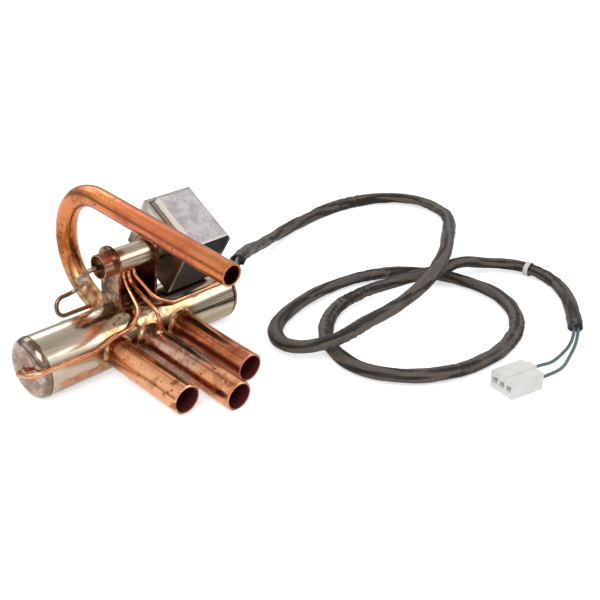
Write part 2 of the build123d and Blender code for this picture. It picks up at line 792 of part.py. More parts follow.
sleeve_route = (
    (47, -18.5, 35.2),
    (58, -10.5, 33),
    (72, 3, 27),
    (89, 18.5, 18.5),
    (107, 32, 9.5),
    (129, 44, 4.4),
    (155, 52, 3.6),
    (184, 56, 3.6),
    (211, 54, 3.6),
    (232, 42, 3.6),
    (240, 22, 3.6),
    (233, -1, 4.2),
    (215, -18, 7.4),
    (190, -35, 12.6),
    (166, -50, 19.0),
    (143, -64, 19.6),
    (120, -70, 15),
    (96, -67, 9.5),
    (76, -67, 11),
    (57, -70.5, 11.8),
    (44, -63, 8.2),
    (40, -48, 4.6),
    (49, -34.5, 3.7),
    (66, -27.5, 3.6),
    (90, -22.5, 3.6),
    (118, -23, 3.6),
    (141, -34, 3.6),
    (153, -49, 3.6),
    (158, -68, 3.6),
    (156, -90, 3.6),
    (141, -110, 3.6),
    (116, -121, 3.6),
    (88, -120.5, 3.6),
    (64, -109, 3.6),
    (52, -88, 3.6),
    (56, -67, 3.6),
    (71, -49, 3.6),
    (92, -39, 4.0),
    (110, -44, 7.4),
    (125, -54.5, 11.6),
    (143, -61.5, 12.1),
    (163, -61, 10.6),
    (181, -65.5, 5.0),
    (192.5, -76, 3.9),
    (192, -94.5, 3.9),
    (181, -112, 3.6),
    (165, -124.5, 3.6),
    (150, -134, 3.6),
)
cord("lead_sleeve", sleeve_od, sleeve_route)

# Two wires run from the nose into the sleeve.
sleeve_start = Vector(sleeve_route[0])
sleeve_lead_in = (Vector(sleeve_route[1]) - sleeve_start).normalized()
sleeve_top = sleeve_lead_in.cross(Vector(0, 0, 1)).cross(sleeve_lead_in).normalized()
coil_wires = []
for side in (-1, 1):
    apart = side * wire_spread / 2
    nose_front = -coil_depth / 2 - nose_length
    coil_wires.append(
        (
            coil_station(nose_place, nose_front, nose_rise + apart).origin,
            coil_station(nose_place, nose_front - 5, nose_rise + apart).origin,
            Vector(40.4, -23.9, 34.6 + apart),
            sleeve_start - sleeve_lead_in * 3.75 + sleeve_top * apart,
            sleeve_start + sleeve_top * apart,
        )
    )
cord("coil_wires", wire_od, *coil_wires)

# A white band marks the sleeve.
band_from = Vector(192.5, -76, 3.9)
band_to = Vector(192, -94.5, 3.9)
band_middle = band_from + (band_to - band_from) * 0.465
with BuildPart() as sleeve_band:
    with BuildSketch(Plane(origin=band_middle, z_dir=band_to - band_from)):
        Circle(sleeve_od / 2 + band_wall)
        Circle(sleeve_od / 2, mode=Mode.SUBTRACT)
    extrude(amount=band_width / 2, both=True)
write(sleeve_band, "sleeve_band")

# The connector lies on the surface. Its two wires sit in the outer ways, and the middle way is empty.
heading = Vector(cos(radians(connector_heading)), sin(radians(connector_heading)), 0)
connector_rear = Plane(
    origin=Vector(*connector_place, connector_height / 2), x_dir=Vector(0, 0, 1).cross(heading), z_dir=heading
)
way_places = (-connector_pitch, 0.0, connector_pitch)
way_length = connector_length - socket_depth
with BuildPart() as connector_housing:
    with BuildSketch(connector_rear):
        Rectangle(connector_width, connector_height)
    extrude(amount=connector_length)
    with BuildSketch(connector_rear):
        with Locations((0, connector_height / 2 + latch_height / 2)):
            Rectangle(latch_width, latch_height)
    extrude(amount=connector_length)
    with BuildSketch(connector_rear):
        with Locations(*[(place, 0) for place in way_places]):
            Rectangle(terminal_size, terminal_size)
    extrude(amount=way_length, mode=Mode.SUBTRACT)
    with BuildSketch(connector_rear.offset(connector_length)):
        with Locations(*[(place, 0) for place in way_places]):
            Rectangle(socket_size, socket_size)
    extrude(amount=-socket_depth, mode=Mode.SUBTRACT)
write(connector_housing, "connector_housing")

with BuildPart() as connector_terminals:
    with BuildSketch(connector_rear.offset(terminal_inset)):
        with Locations((-connector_pitch, 0), (connector_pitch, 0)):
            Rectangle(terminal_size, terminal_size)
    extrude(amount=terminal_length)
    with BuildSketch(connector_rear.offset(terminal_inset + terminal_length)):
        with Locations((-connector_pitch, 0), (connector_pitch, 0)):
            Rectangle(terminal_bore, terminal_bore)
    extrude(amount=-socket_depth, mode=Mode.SUBTRACT)
write(connector_terminals, "connector_terminals")

# Two wires run from the sleeve's end into the connector.
sleeve_end = Vector(sleeve_route[-1])
sleeve_lead_out = (sleeve_end - Vector(sleeve_route[-2])).normalized()
beside = Vector(0, 0, 1).cross(sleeve_lead_out) * (wire_spread / 2)


def into_way(place, distance):
    """A point on the axis of a connector's way, distance behind the back of the housing."""
    return connector_rear.from_local_coords((place, 0, -distance))


cord(
    "connector_wires",
    wire_od,
    (
        sleeve_end - beside,
        sleeve_end - beside + sleeve_lead_out * 4.5,
        (137, -138.6, 1.6),
        (126, -139.6, 1.2),
        (116, -140.4, 1.8),
        into_way(-connector_pitch, 8),
        into_way(-connector_pitch, -terminal_inset),
    ),
    (
        sleeve_end + beside,
        sleeve_end + beside + sleeve_lead_out * 4.5,
        (139, -141.2, 1.6),
        (128.5, -143.4, 1.2),
        (116, -146.6, 1.6),
        into_way(connector_pitch, 8),
        into_way(connector_pitch, -terminal_inset),
    ),
)
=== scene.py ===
# %% [markdown]
# # A four way reversing valve with its coil and its lead
#
# The CAD model gives every rigid piece its place and its size. This script gives each surface its
# finish, dresses the brazed joints, and lays the soft lead on the floor. The rules are simple:
# nothing from the CAD is moved, each new piece sits at the origin with its place in its mesh, and
# each new piece rides on the body it belongs to.

import json
from math import atan2, cos, pi, radians, sin, sqrt

import bmesh
import bpy
from mathutils import Matrix, Vector, noise

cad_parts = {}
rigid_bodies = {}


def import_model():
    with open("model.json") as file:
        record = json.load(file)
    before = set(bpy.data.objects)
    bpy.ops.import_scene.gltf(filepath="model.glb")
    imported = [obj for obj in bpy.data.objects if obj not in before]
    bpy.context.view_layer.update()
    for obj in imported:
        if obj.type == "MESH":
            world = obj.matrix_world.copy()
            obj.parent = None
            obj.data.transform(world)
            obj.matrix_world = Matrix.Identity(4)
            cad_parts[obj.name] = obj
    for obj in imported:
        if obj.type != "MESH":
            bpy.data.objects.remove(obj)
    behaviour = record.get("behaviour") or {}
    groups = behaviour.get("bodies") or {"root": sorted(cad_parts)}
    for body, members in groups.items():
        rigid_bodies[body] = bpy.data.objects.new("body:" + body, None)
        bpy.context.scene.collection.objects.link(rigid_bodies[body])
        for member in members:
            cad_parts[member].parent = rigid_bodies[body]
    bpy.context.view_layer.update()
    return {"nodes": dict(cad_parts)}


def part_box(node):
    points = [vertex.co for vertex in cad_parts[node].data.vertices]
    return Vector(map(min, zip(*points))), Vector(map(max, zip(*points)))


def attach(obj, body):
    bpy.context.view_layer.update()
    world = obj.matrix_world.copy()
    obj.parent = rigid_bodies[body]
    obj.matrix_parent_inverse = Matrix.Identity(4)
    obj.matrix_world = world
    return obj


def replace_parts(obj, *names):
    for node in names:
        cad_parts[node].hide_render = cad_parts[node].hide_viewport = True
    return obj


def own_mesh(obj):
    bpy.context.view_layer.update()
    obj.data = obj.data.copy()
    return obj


for leftover in list(bpy.data.objects):
    bpy.data.objects.remove(leftover)
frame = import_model()
nodes = frame["nodes"]
MM = 0.001

# %% [markdown]
# ## Camera
#
# A camera is easiest to set from the point it looks at. The turn goes round the object and the rise
# goes up from the floor. A long lens keeps the barrel and the tubes from spreading towards the
# viewer.

# %% Camera
turn = radians(-46.62)
rise = radians(26.12)
distance = 402.28
target = Vector((59.1, -45.33, 20.0)) * MM
backwards = Vector((sin(turn) * cos(rise), -cos(turn) * cos(rise), sin(rise)))
camera = bpy.data.objects.new("camera", bpy.data.cameras.new("camera"))
camera.data.lens = 54.0
camera.data.sensor_width = 36.0
camera.data.clip_start = 0.01
camera.location = target + backwards * distance * MM
camera.rotation_euler = (-backwards).to_track_quat("-Z", "Y").to_euler()
bpy.context.collection.objects.link(camera)
bpy.context.scene.camera = camera
bpy.context.scene.view_settings.view_transform = "Standard"
print("camera at", tuple(round(c, 4) for c in camera.location))

# %% [markdown]
# ## Shader sums
#
# A finish is easier to read as sums than as a web of nodes. `Signal` wraps a shader socket, so that
# `1 - mask` adds the Math node that it needs. `Finish` holds one material, and its method `node`
# adds any other node.

# %% Signal and Finish


class Signal:
    """A number or a colour that changes over a surface."""

    def __init__(self, finish, socket):
        self.finish = finish
        self.socket = socket

    def maths(self, operation, first, second=0.0):
        return self.finish.node("ShaderNodeMath", {"operation": operation}, {0: first, 1: second})

    def __add__(self, other):
        return self.maths("ADD", self, other)

    __radd__ = __add__

    def __sub__(self, other):
        return self.maths("SUBTRACT", self, other)

    def __rsub__(self, other):
        return self.maths("SUBTRACT", other, self)

    def __mul__(self, other):
        return self.maths("MULTIPLY", self, other)

    __rmul__ = __mul__

    def __truediv__(self, other):
        return self.maths("DIVIDE", self, other)

    def __abs__(self):
        return self.maths("ABSOLUTE", self)

    def most(self, other):
        return self.maths("MAXIMUM", self, other)

    def root(self):
        return self.maths("SQRT", self)

    def between(self, low, high):
        """0 below low, 1 above high, and a soft step from one to the other."""
        settings = {"interpolation_type": "SMOOTHSTEP"}
        return self.finish.node("ShaderNodeMapRange", settings, {0: self, 1: low, 2: high})


class Finish:
    """One material: a Principled shader and the nodes that feed it."""

    def __init__(self, name, **constants):
        self.material = bpy.data.materials.new(name)
        self.material.use_nodes = True
        self.tree = self.material.node_tree
        self.shader = self.tree.nodes["Principled BSDF"]
        coordinates = self.tree.nodes.new("ShaderNodeTexCoord")
        self.where = Signal(self, coordinates.outputs["Object"])
        self.tone = None
        self.feed(**constants)

    def node(self, kind, settings=None, values=None, out=0):
        made = self.tree.nodes.new(kind)
        for name, value in (settings or {}).items():
            setattr(made, name, value)
        for name, value in (values or {}).items():
            if isinstance(value, Signal):
                self.tree.links.new(value.socket, made.inputs[name])
            else:
                made.inputs[name].default_value = value
        return Signal(self, made.outputs[out])

    def feed(self, **sockets):
        """Sets or links the shader's sockets. An underscore in a name stands for a space."""
        for name, value in sockets.items():
            socket = self.shader.inputs[name.replace("_", " ")]
            if isinstance(value, Signal):
                self.tree.links.new(value.socket, socket)
            elif hasattr(value, "__len__"):
                socket.default_value = (*value, 1.0)[: len(socket.default_value)]
            else:
                socket.default_value = value

    def place(self, stretch=(1, 1, 1), turned=(0, 0, 0), moved=(0, 0, 0)):
        """Object coordinates, moved and then turned and stretched."""
        shifted = self.node("ShaderNodeVectorMath", {"operation": "ADD"}, {0: self.where, 1: moved})
        values = {"Vector": shifted, "Rotation": turned, "Scale": stretch}
        return self.node("ShaderNodeMapping", {}, values)

    def axis(self, vector, letter):
        return self.node("ShaderNodeSeparateXYZ", {}, {0: vector}, out="XYZ".index(letter))

    def axes(self, vector, letters="XYZ"):
        return [self.axis(vector, letter) for letter in letters]

    def cloud(self, vector, size, detail=3.0, roughness=0.55):
        """Soft noise from 0 to 1 with spots of about the given size in millimetres."""
        values = {"Vector": vector, "Scale": 1 / (size * MM)}
        values.update(Detail=detail, Roughness=roughness)
        return self.node("ShaderNodeTexNoise", {}, values)

    def mix(self, share, first, second):
        """Goes from the first colour to the second as share goes from 0 to 1."""
        first = first if isinstance(first, Signal) else (*first, 1.0)
        second = second if isinstance(second, Signal) else (*second, 1.0)
        values = {0: share, 6: first, 7: second}  # 6 and 7 are the node's two colour inputs.
        return self.node("ShaderNodeMix", {"data_type": "RGBA"}, values, out=2)

    def bump(self, height, depth, strength=1.0):
        """Pushes the surface in and out: height goes from 0 to 1, and depth is in millimetres."""
        values = {"Height": height, "Distance": depth * MM, "Strength": strength}
        self.feed(Normal=self.node("ShaderNodeBump", {}, values))

    def paint(self, *pieces):
        for piece in pieces:
            piece = nodes.get(piece, piece)
            piece.data.materials.clear()
            piece.data.materials.append(self.material)


# %% [markdown]
# ## The lead's routes
#
# A loose lead is one smooth curve. A NURBS spline of order 3 rounds its own corners, so a few
# points are enough. Blender bevels the curve to a round tube, and the tube becomes a mesh whose
# rings of points can then be pressed and creased one by one. `swept` returns the tube and the line
# that its rings are strung on. Where rings are pressed, an attribute keeps how deep each point lies
# in a crease or under the sleeve, so that a material can paint shade there.

# %% Tubes along a curve


def laid_curve(name, points, steps):
    """A NURBS curve through a cord's points, which are in millimetres."""
    line = bpy.data.curves.new(name, "CURVE")
    line.dimensions = "3D"
    line.resolution_u = steps
    spline = line.splines.new("NURBS")
    spline.points.add(len(points) - 1)
    for point, place in zip(spline.points, points):
        point.co = (*(Vector(place) * MM), 1.0)
    spline.order_u = 3
    spline.use_endpoint_u = True
    laid = bpy.data.objects.new(name, line)
    bpy.context.collection.objects.link(laid)
    return laid


def mesh_of(laid):
    bpy.context.view_layer.update()
    evaluated = laid.evaluated_get(bpy.context.evaluated_depsgraph_get())
    return bpy.data.meshes.new_from_object(evaluated)


def press_rings(mesh, path, press):
    """Moves the points of each ring, and keeps as an attribute how deep each lies in a crease, for
    painted shade.
    """
    depth = mesh.attributes.new("crease_shade", "FLOAT", "POINT")
    around = len(mesh.vertices) // len(path)
    travelled = 0.0
    for ring, centre in enumerate(path):
        travelled += (centre - path[max(ring - 1, 0)]).length
        for place in range(around):
            number = ring * around + place
            arm = mesh.vertices[number].co - centre
            angle = 2 * pi * place / around
            arm, depth.data[number].value = press(arm, angle, travelled, centre.z)
            mesh.vertices[number].co = centre + arm


def swept(name, points, thickness, press=None, steps=6, roundness=3):
    """A tube along a curve, and the centres of its rings.

    `press` may change each point's arm from its ring's centre, and says how creased it is there.
    """
    laid = laid_curve(name + "_line", points, steps)
    line = mesh_of(laid)
    path = [vertex.co.copy() for vertex in line.vertices]
    bpy.data.meshes.remove(line)
    laid.data.bevel_depth = thickness / 2 * MM
    laid.data.bevel_resolution = roundness
    mesh = mesh_of(laid)
    bpy.data.objects.remove(laid)
    if press:
        press_rings(mesh, path, press)
    shape = bmesh.new()
    shape.from_mesh(mesh)
    bmesh.ops.holes_fill(shape, edges=[edge for edge in shape.edges if edge.is_boundary])
    bmesh.ops.recalc_face_normals(shape, faces=shape.faces)
    bpy.data.meshes.remove(mesh)
    return finished(shape, name), path


def finished(shape, name, smooth=True):
    """Turns a bmesh into an object that sits at the origin."""
    mesh = bpy.data.meshes.new(name)
    shape.to_mesh(mesh)
    shape.free()
    if smooth:
        mesh.shade_smooth()
    made = bpy.data.objects.new(name, mesh)
    bpy.context.collection.objects.link(made)
    return made


def length_of(points):
    return sum((b - a).length for a, b in zip(points, points[1:]))


sleeve_points = (
    (47, -18.5, 35.2),
    (58, -10.5, 33),
    (72.5, 2.5, 26),
    (90.5, 17, 17.8),
    (109.5, 31, 10),
    (130, 43, 4.6),
    (151.5, 49, 3.6),
    (181, 53, 3.6),
    (207.5, 51, 3.6),
    (229.5, 40, 3.6),
    (239, 21, 3.6),
    (233, -1, 4.2),
    (215, -18, 7.4),
    (190, -35, 12.6),
    (166, -50, 19.0),
    (143, -64, 19.6),
    (120, -70, 15),
    (96, -68.5, 9.5),
    (77, -69.5, 11),
    (60, -72.5, 11.8),
    (47.5, -65, 8.2),
    (43.5, -50, 4.6),
    (51, -36, 3.7),
    (66, -27.5, 3.6),
    (90, -22.5, 3.6),
    (118, -23, 3.6),
    (141, -34, 3.6),
    (153, -49, 3.6),
    (158, -68, 3.6),
    (156, -90, 3.6),
    (141, -110, 3.6),
    (116, -121, 3.6),
    (88, -120.5, 3.6),
    (64, -109, 3.6),
    (52, -88, 3.6),
    (56, -67, 3.6),
    (71, -49, 3.6),
    (92, -39, 4.0),
    (110, -44, 7.4),
    (125, -54.5, 11.6),
    (143, -61.5, 12.1),
    (163, -61, 10.6),
    (181, -65.5, 5.0),
    (192.5, -76, 3.9),
    (192, -94.5, 3.9),
    (181, -112, 3.6),
    (165, -124.5, 3.6),
    (150, -134, 3.6),
)

# %% [markdown]
# ## The sleeve
#
# The real sleeve is a thin, soft hose round two wires. It is never quite round: it sags flat, four
# long creases wander along it, and it crumples in places. On the far bend it stands on its edge. A
# plain round bevel would look like a bent rod, so each ring's points are moved a little, by amounts
# that drift along the length. `noise` gives the same values in every run. Its inputs are lengths in
# metres times waves per metre, so 22 means a slow drift and 520 means fine folds.

# %% Sleeve mesh
sleeve_width = 7.0
# Where the creases start and how wide they are, in radians round the line.
crease_angles = (0.4, 1.7, 3.0, 4.6)
crease_half_width = 0.5
# Shares of the round sleeve's radius.
crease_depth = 0.26
furthest_reach = 1.03
floor_gap = 0.3 * MM
# The bend where the sleeve stands on its edge, in metres along it.
far_bend, far_bend_reach = 0.17, 0.065


def soft_hose(arm, angle, travelled, height):
    """Presses one point of the sleeve, in metres and radians. `height` is the line's height."""
    sway = 0.5 + 0.5 * noise.noise(Vector((travelled * 22, 3.1, 0)))
    crumpled = max(0.0, noise.noise(Vector((travelled * 30, 7.7, 2)))) * 2.2
    reach = 1.0
    for lane in crease_angles:
        wander = lane + 1.4 * noise.noise(Vector((travelled * 24, lane, 5)))
        off = abs((angle - wander + pi) % (2 * pi) - pi)
        share = max(0.0, 1 - off / crease_half_width) ** 1.3
        reach -= crease_depth * (0.4 + sway) * share
    folds = noise.noise(Vector((travelled * 520, cos(angle) * 1.3, sin(angle) * 1.3)))
    dents = noise.noise(Vector((travelled * 110, cos(angle) * 1.6, sin(angle) * 1.6 + 9)))
    reach += 0.18 * crumpled * folds + 0.12 * dents
    standing = max(0.0, 1 - ((travelled - far_bend) / far_bend_reach) ** 2)
    tall = 0.86 - 0.10 * sway + 0.30 * standing
    across = 1.06 - 0.10 * standing
    arm = arm * min(reach, furthest_reach)
    arm = Vector((arm.x * across, arm.y * across, arm.z * tall))
    arm.z = max(arm.z, floor_gap - height)
    # The underside is added to the crease value, so that it is painted as shade too.
    underside = max(0.0, -arm.z / (sleeve_width / 2 * MM) - 0.1)
    return arm, min(1.0, max(0.0, (1.0 - reach) / crease_depth + underside))


sleeve, sleeve_path = swept(
    "sleeve_hose", sleeve_points, sleeve_width, soft_hose, steps=36, roundness=6
)
print("sleeve hose:", len(sleeve.data.vertices), "points,", round(length_of(sleeve_path), 4), "m")

# %% [markdown]
# ## Wires and band
#
# Two thin wires run from the coil's nose into the sleeve, and two more leave its far end for the
# connector. Each is a tube along a curve of its own. The white band is a short ring of tape round
# the sleeve. The valve leans back a little on the floor, and the coil is turned further about the
# pilot valve.

# %% Wires and band
low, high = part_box("pilot_tube")
pilot_axis = (low + high) / 2 / MM
lean = radians(5.775)
coil_turn = radians(27.3) + lean
coil_back = Vector((0, cos(coil_turn), sin(coil_turn)))
coil_up = Vector((0, -sin(coil_turn), cos(coil_turn)))
sleeve_start = Vector(sleeve_points[0])
lead_in = (Vector(sleeve_points[1]) - sleeve_start).normalized()
sleeve_top = lead_in.cross(Vector((0, 0, 1))).cross(lead_in).normalized()


def coil_point(x, back, up):
    """A point of the coil: x along the barrel, and the other two from the pilot valve's axis."""
    return Vector((x, pilot_axis.y, pilot_axis.z)) + coil_back * back + coil_up * up


wire_width = 1.5
coil_wires = []
for side, apart in (("low", -1.1), ("high", 1.1)):
    route = (
        coil_point(36, -18.75, 1 + apart),
        coil_point(36, -23.75, 1 + apart),
        Vector((40.4, -23.9, 34.6 + apart)),
        sleeve_start - lead_in * 3.75 + sleeve_top * apart,
        sleeve_start + sleeve_top * apart,
    )
    coil_wires.append(swept(f"coil_wire_{side}", route, wire_width)[0])

sleeve_end = Vector(sleeve_points[-1])
lead_out = (sleeve_end - Vector(sleeve_points[-2])).normalized()
beside = Vector((0, 0, 1)).cross(lead_out) * 0.9
connector_turn = radians(164)
heading = Vector((cos(connector_turn), sin(connector_turn), 0))
across = Vector((0, 0, 1)).cross(heading)
connector_rear = Vector((98.0, -141.5, 4.0))
way_pitch = 3.96
into_housing = -1.5


def into_way(place, distance):
    """A point on the axis of a connector's way, distance behind the back of the housing."""
    return connector_rear + across * place - heading * distance


wire_routes = (
    (
        sleeve_end - beside,
        sleeve_end - beside + lead_out * 4.5,
        (136.8, -138.8, 1.6),
        (125.5, -140.2, 1.2),
        (115.5, -140.9, 1.8),
        into_way(-way_pitch, 8),
        into_way(-way_pitch, into_housing),
    ),
    (
        sleeve_end + beside,
        sleeve_end + beside + lead_out * 4.5,
        (137.2, -140.9, 1.6),
        (127, -143.6, 1.2),
        (116, -146.6, 1.6),
        into_way(way_pitch, 8),
        into_way(way_pitch, into_housing),
    ),
)
connector_wires = {}
for name, route in zip(("connector_wire_far", "connector_wire_near"), wire_routes):
    wire, path = swept(name, route, wire_width, steps=12)
    connector_wires[wire] = path
    print(name, round(length_of(path), 4), "m")


def band_round(name, path, middle, width, thickness, tape_thickness=0.3):
    """A short ring of tape on a stretch of a line."""
    nearest = min(range(len(path)), key=lambda i: (path[i] - middle * MM).length)
    direction = (path[nearest + 1] - path[nearest - 1]).normalized()
    frame_turn = direction.to_track_quat("Z", "Y").to_matrix().to_4x4()
    tape = bmesh.new()
    bmesh.ops.create_circle(tape, segments=40, radius=thickness / 2 * MM)
    bmesh.ops.translate(tape, verts=tape.verts, vec=(0, 0, -width / 2 * MM))
    extruded = bmesh.ops.extrude_edge_only(tape, edges=tape.edges)["geom"]
    rim = [piece for piece in extruded if isinstance(piece, bmesh.types.BMVert)]
    bmesh.ops.translate(tape, verts=rim, vec=(0, 0, width * MM))
    bmesh.ops.recalc_face_normals(tape, faces=tape.faces)
    bmesh.ops.solidify(tape, geom=tape.faces[:], thickness=tape_thickness * MM)
    bmesh.ops.recalc_face_normals(tape, faces=tape.faces)
    placed = Matrix.Translation(path[nearest]) @ frame_turn
    bmesh.ops.transform(tape, matrix=placed, verts=tape.verts)
    return finished(tape, name)


band_middle = Vector((192.3, -84.6, 3.9))
band = band_round("sleeve_tape", sleeve_path, band_middle, width=2.6, thickness=7.5)

for piece in (sleeve, band, *coil_wires, *connector_wires):
    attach(piece, "valve")
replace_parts(sleeve, "lead_sleeve")
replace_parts(band, "sleeve_band")
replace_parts(coil_wires[0], "coil_wires")
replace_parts(next(iter(connector_wires)), "connector_wires")

# %% [markdown]
# ## Copper
#
# Drawn copper is pink and bright where it was wiped, orange where it has aged for a few weeks, and
# brown along the streaks that the drawing die and the torch leave. Three layers of noise give that:
# wide clouds of tarnish, long thin streaks along the tube, and small dark spots. A stub also has
# painted shade: a dark maroon bore, and brown on one flank and underneath. These are found from the
# distance and the direction to its own axis.
#
# A mask is a soft step on such a distance. The two ends of each step are in metres, as the CAD
# model is.

# %% Copper finish
barrel_radius = 13.2 * MM
stub_radius = 6.35 * MM
loop_radius = 4.76 * MM
bore_edge = (5.48 * MM, 5.62 * MM)
stub_places = {"evaporator": -17.0 * MM, "suction": 0.0, "condenser": 17.0 * MM}


def copper(name, stretch, tarnish, bright=(0.80, 0.33, 0.15), dull=(0.42, 0.115, 0.035)):
    """Bare copper. Stretch is small along the tube, so that its streaks run that way."""
    finish = Finish(name, Metallic=1.0)
    clouds = finish.cloud(finish.where, 14, 4, 0.6)
    streaks = finish.cloud(finish.place(stretch), 2.2, 5, 0.65)
    spots = finish.cloud(finish.where, 1.8, 2, 0.5).between(0.64, 0.72)
    aged = (clouds * 0.6 + streaks * 0.4).between(0.62 - 0.3 * tarnish, 0.78 - 0.25 * tarnish)
    colour = finish.mix(aged, bright, dull)
    colour = finish.mix(streaks.between(0.56, 0.72) * 0.4, colour, (0.88, 0.50, 0.34))
    colour = finish.mix(spots * 0.8, colour, (0.11, 0.035, 0.016))
    finish.feed(Roughness=0.20 + aged * 0.14 + spots * 0.2)
    finish.bump(streaks * 0.7 + clouds * 0.3, 0.05, 0.6)
    finish.tone = colour
    finish.feed(Base_Color=colour)
    return finish


def stub_finish(name, place, blotched=0.4, **look):
    """Copper for a stub that leaves the barrel at x = place: painted shade on one flank and
    underneath, and a dull bore.
    """
    finish = copper(name, (1, 0.08, 1), **look)
    x, y, z = finish.axes(finish.place(turned=(-lean, 0, 0), moved=(-place, 0, -barrel_radius)))
    radius = (x * x + z * z).root()
    ragged = finish.cloud(finish.place((1, 0.2, 1)), 4, 4) * 0.7 - 0.35
    # The flank facing +X and the underside are painted shade; the brown near the root is from
    # brazing.
    flank_shade = (x * 0.75 + z * -0.15) / radius + ragged
    underside_shade = z / radius * -1 + ragged
    outline_shade = flank_shade.between(0.35, 0.8).most(underside_shade.between(0.45, 0.85))
    near_root = (y + finish.cloud(finish.where, 4, 3) * 0.006).between(-0.0215, -0.0150)
    finish.tone = finish.mix(outline_shade.most(near_root) * 0.78, finish.tone, (0.20, 0.062, 0.026))
    near_mouth = 1 - y.between(-0.050, -0.034)
    blotches = finish.cloud(finish.where, 4.5, 2, 0.5).between(0.55, 0.62) * near_mouth
    finish.tone = finish.mix(blotches * blotched, finish.tone, (0.30, 0.10, 0.035))
    finish.bore = 1 - radius.between(*bore_edge)
    finish.feed(Metallic=1 - finish.bore * 0.85)
    return finish


def shade_bore(finish, tone):
    """Gives a stub its tone outside and a dark maroon in its bore, as painted shade."""
    finish.feed(Base_Color=finish.mix(finish.bore, tone, (0.15, 0.030, 0.028)))
    return finish


copper_stub = stub_finish(
    "copper_stub",
    stub_places["evaporator"],
    blotched=0.85,
    tarnish=0.35,
    bright=(0.86, 0.42, 0.21),
    dull=(0.55, 0.19, 0.07),
)
shade_bore(copper_stub, copper_stub.tone).paint("evaporator_tube")
copper_red = stub_finish(
    "copper_red",
    stub_places["condenser"],
    tarnish=0.6,
    bright=(0.74, 0.27, 0.13),
    dull=(0.36, 0.085, 0.03),
)
shade_bore(copper_red, copper_red.tone).paint("condenser_tube")

# The torch left a grey, silvery skin on the suction stub, with a ragged edge before its mouth.
copper_grey = stub_finish(
    "copper_grey",
    stub_places["suction"],
    tarnish=0.45,
    bright=(0.84, 0.38, 0.19),
    dull=(0.46, 0.15, 0.05),
)
grey_ragged = copper_grey.cloud(copper_grey.where, 5, 4) * 0.008
grey_share = (copper_grey.axis(copper_grey.where, "Y") + grey_ragged).between(-0.046, -0.041)
grey_mottle = copper_grey.cloud(copper_grey.where, 3, 4).between(0.35, 0.65)
grey_tone = copper_grey.mix(grey_mottle, (0.62, 0.44, 0.36), (0.24, 0.14, 0.11))
grey_tone = copper_grey.mix(grey_share * 0.72, copper_grey.tone, grey_tone)
shade_bore(copper_grey, grey_tone).paint("suction_tube")

# The discharge tube is brown and gold at its root, then deep orange, and redder in its front half.
copper_loop = copper(
    "copper_loop", (1, 0.25, 0.25), 0.62, bright=(0.70, 0.245, 0.085), dull=(0.36, 0.095, 0.027)
)
loop_y, loop_z = copper_loop.axes(copper_loop.where, "YZ")
loop_y = loop_y + copper_loop.cloud(copper_loop.where, 9, 3) * 0.012 - 0.006
redder = (1 - loop_y.between(-0.006, 0.012)) * loop_y.between(-0.062, -0.040)
loop_tone = copper_loop.mix(redder * 0.55, copper_loop.tone, (0.66, 0.17, 0.085))
root_share = loop_y.between(0.014, 0.022) * (1 - loop_z.between(0.020, 0.036))
root_mottle = copper_loop.cloud(copper_loop.where, 3, 4).between(0.38, 0.62)
root_tone = copper_loop.mix(root_mottle, (0.60, 0.42, 0.23), (0.30, 0.13, 0.055))
copper_loop.feed(Base_Color=copper_loop.mix(root_share * 0.8, loop_tone, root_tone))
copper_loop.paint("discharge_tube")

copper_fine = copper(
    "copper_fine", (1, 1, 1), 0.4, bright=(0.78, 0.36, 0.19), dull=(0.38, 0.12, 0.045)
)
copper_fine.paint("left_capillary", "right_capillary", "suction_capillary")
# The grey-brown on the capillary's left part is painted shade and painted reflection.
capillary_shade_finish = copper("capillary_painted_shade", (1, 1, 1), 0.5)
behind = 1 - capillary_shade_finish.axis(capillary_shade_finish.where, "X").between(-0.0100, -0.0065)
capillary_shade_tone = capillary_shade_finish.mix(behind * 0.85, capillary_shade_finish.tone, (0.20, 0.165, 0.125))
capillary_shade_finish.feed(Base_Color=capillary_shade_tone)
capillary_shade_finish.paint("discharge_capillary")
print("copper finishes:", [m.name for m in bpy.data.materials if m.name.startswith("copper")])

# %% [markdown]
# ## Stainless steel
#
# The barrel is drawn tube, polished almost to a mirror. Brazing the stubs has left straw and brown
# rings round each joint. A copper-brown band along its lower front is painted shade and painted
# reflection of the copper tubes, its underside is painted shade, and round the bracket's foot its
# shadow is painted. Each mark is a smooth step on a distance in the valve's own frame, with noise
# added before the step, so that its edge is ragged.

# %% Barrel finish


def polished_steel(name, colour, rough, lined=0.25):
    """Rubbed steel: its streaks run along X."""
    finish = Finish(name, Metallic=1.0)
    lines = finish.cloud(finish.place((0.05, 1, 1)), 1.1, 4, 0.7)
    clouds = finish.cloud(finish.where, 22, 3)
    shade = tuple(c * w for c, w in zip(colour, (0.88, 0.74, 0.60)))
    tone = finish.mix(clouds.between(0.35, 0.7) * 0.6, colour, shade)
    line_tone = tuple(c * 0.45 for c in shade)
    finish.tone = finish.mix(lines.between(0.52, 0.75) * lined, tone, line_tone)
    finish.feed(Base_Color=finish.tone, Roughness=rough + lines * 0.10 + clouds * 0.05)
    waves = finish.cloud(finish.place((0.35, 1, 1)), 7, 2)
    finish.bump(waves * 0.93 + lines * 0.07, 0.16, 0.8)
    return finish


barrel_steel = polished_steel("barrel_steel", (0.62, 0.56, 0.46), 0.08, lined=0.8)
local = barrel_steel.place(turned=(-lean, 0, 0), moved=(0, 0, -barrel_radius))
x, y, z = barrel_steel.axes(local)
ragged = barrel_steel.cloud(barrel_steel.where, 5, 4, 0.6) - 0.5
front = 1 - y.between(-0.004, 0.002)
tone = barrel_steel.tone

